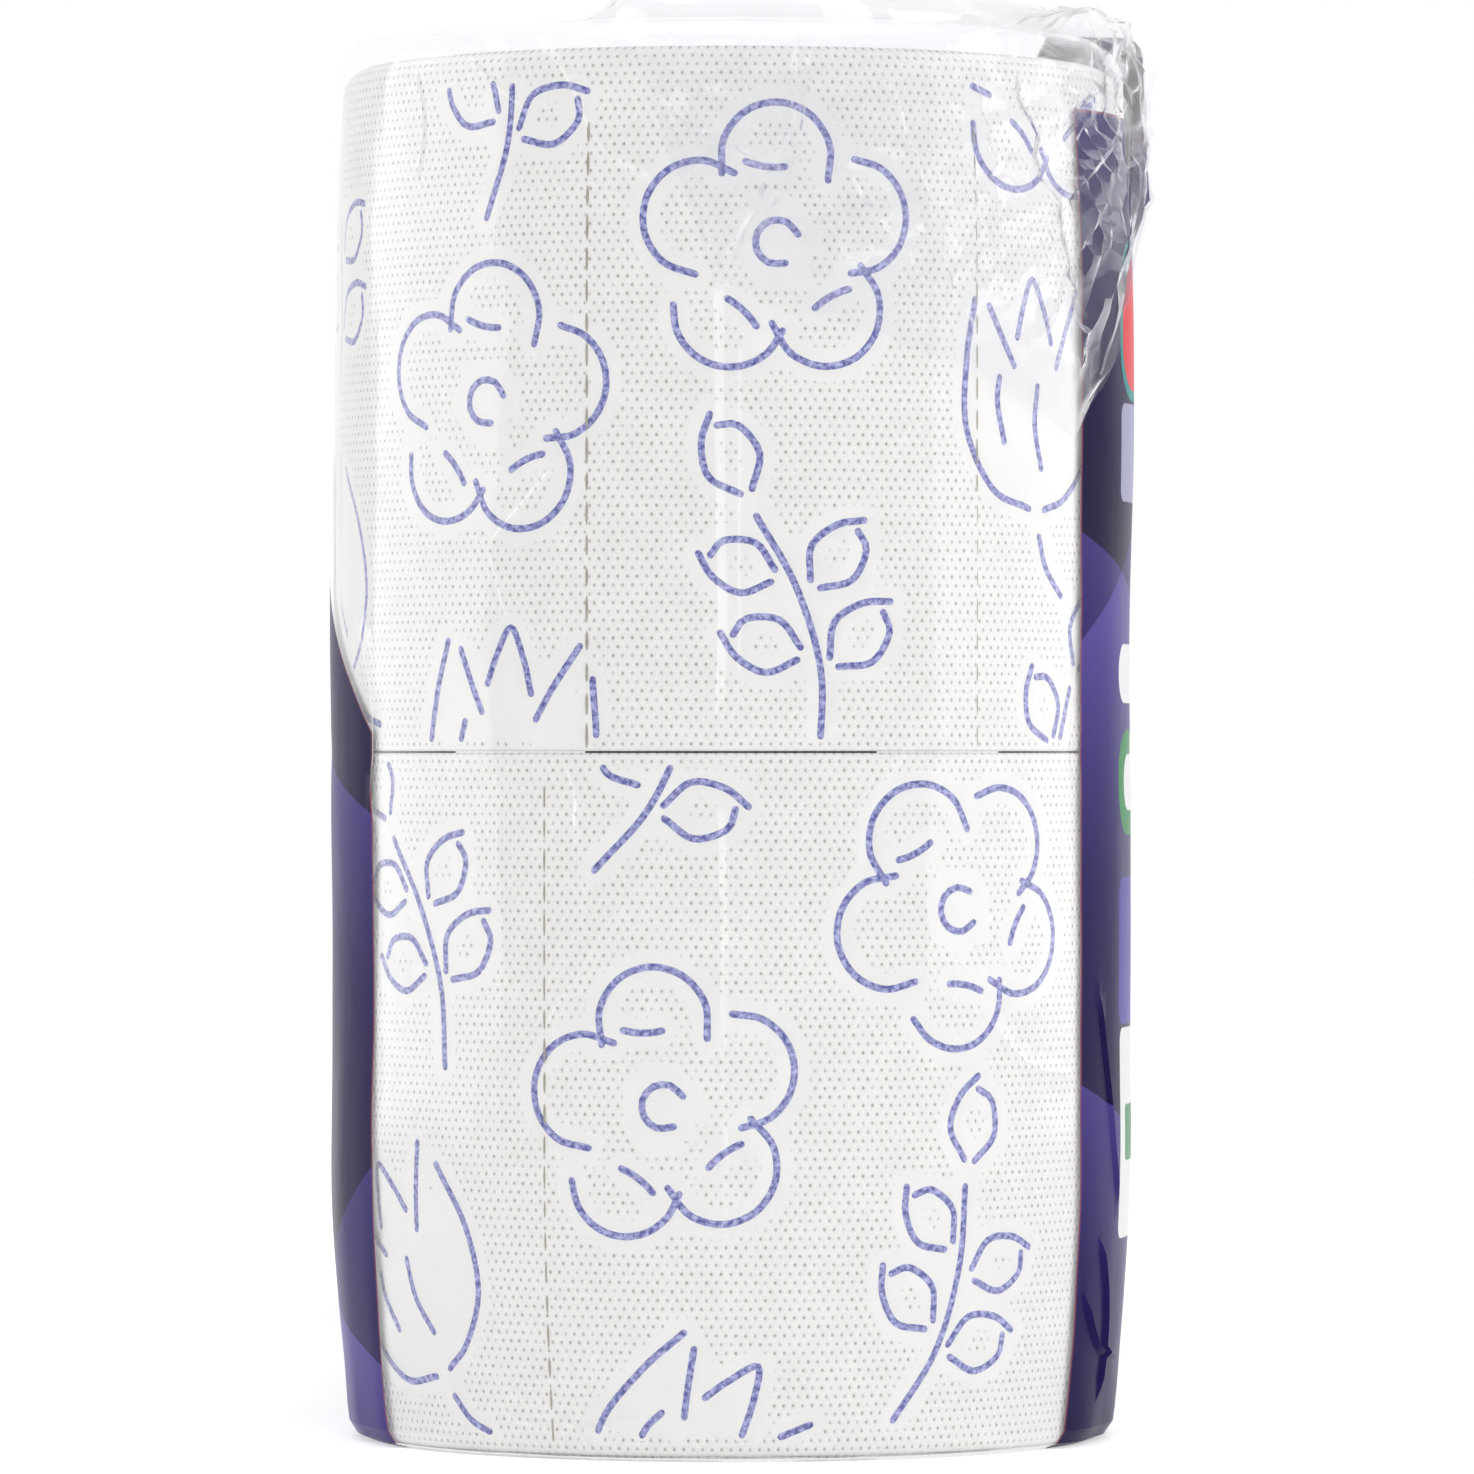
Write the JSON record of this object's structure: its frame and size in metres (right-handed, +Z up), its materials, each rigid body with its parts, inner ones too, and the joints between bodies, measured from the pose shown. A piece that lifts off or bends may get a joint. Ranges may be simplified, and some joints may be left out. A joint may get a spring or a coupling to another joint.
{
  "type": "toilet paper roll pack",
  "caption": "Upright soft paper rolls on card cores, in two layers and one roll deep, held tight in a sealed film bag with clear ends and printed sides.",
  "frame": {"origin": "middle of the base, on the surface that the pack stands on", "axes": "+Z up along the rolls' axes, +Y along the row of rolls, away from the end that is seen first; +X towards the long side that carries the folded top seal"},
  "size_m": [0.1155, 0.458, 0.2002],
  "materials": {
    "tissue": "soft embossed tissue with a pale blue line print",
    "cardboard": "spiral wound grey-brown card",
    "film": "glossy thin polyethylene, clear at the ends and printed on the long sides"
  },
  "bodies": {
    "root": {"film_bag": "film", "lower_core_tube_1": "cardboard", "lower_core_tube_2": "cardboard", "lower_core_tube_3": "cardboard", "lower_core_tube_4": "cardboard", "lower_paper_roll_1": "tissue", "lower_paper_roll_2": "tissue", "lower_paper_roll_3": "tissue", "lower_paper_roll_4": "tissue", "upper_core_tube_1": "cardboard", "upper_core_tube_2": "cardboard", "upper_core_tube_3": "cardboard", "upper_core_tube_4": "cardboard", "upper_paper_roll_1": "tissue", "upper_paper_roll_2": "tissue", "upper_paper_roll_3": "tissue", "upper_paper_roll_4": "tissue"}
  },
  "joints": []
}
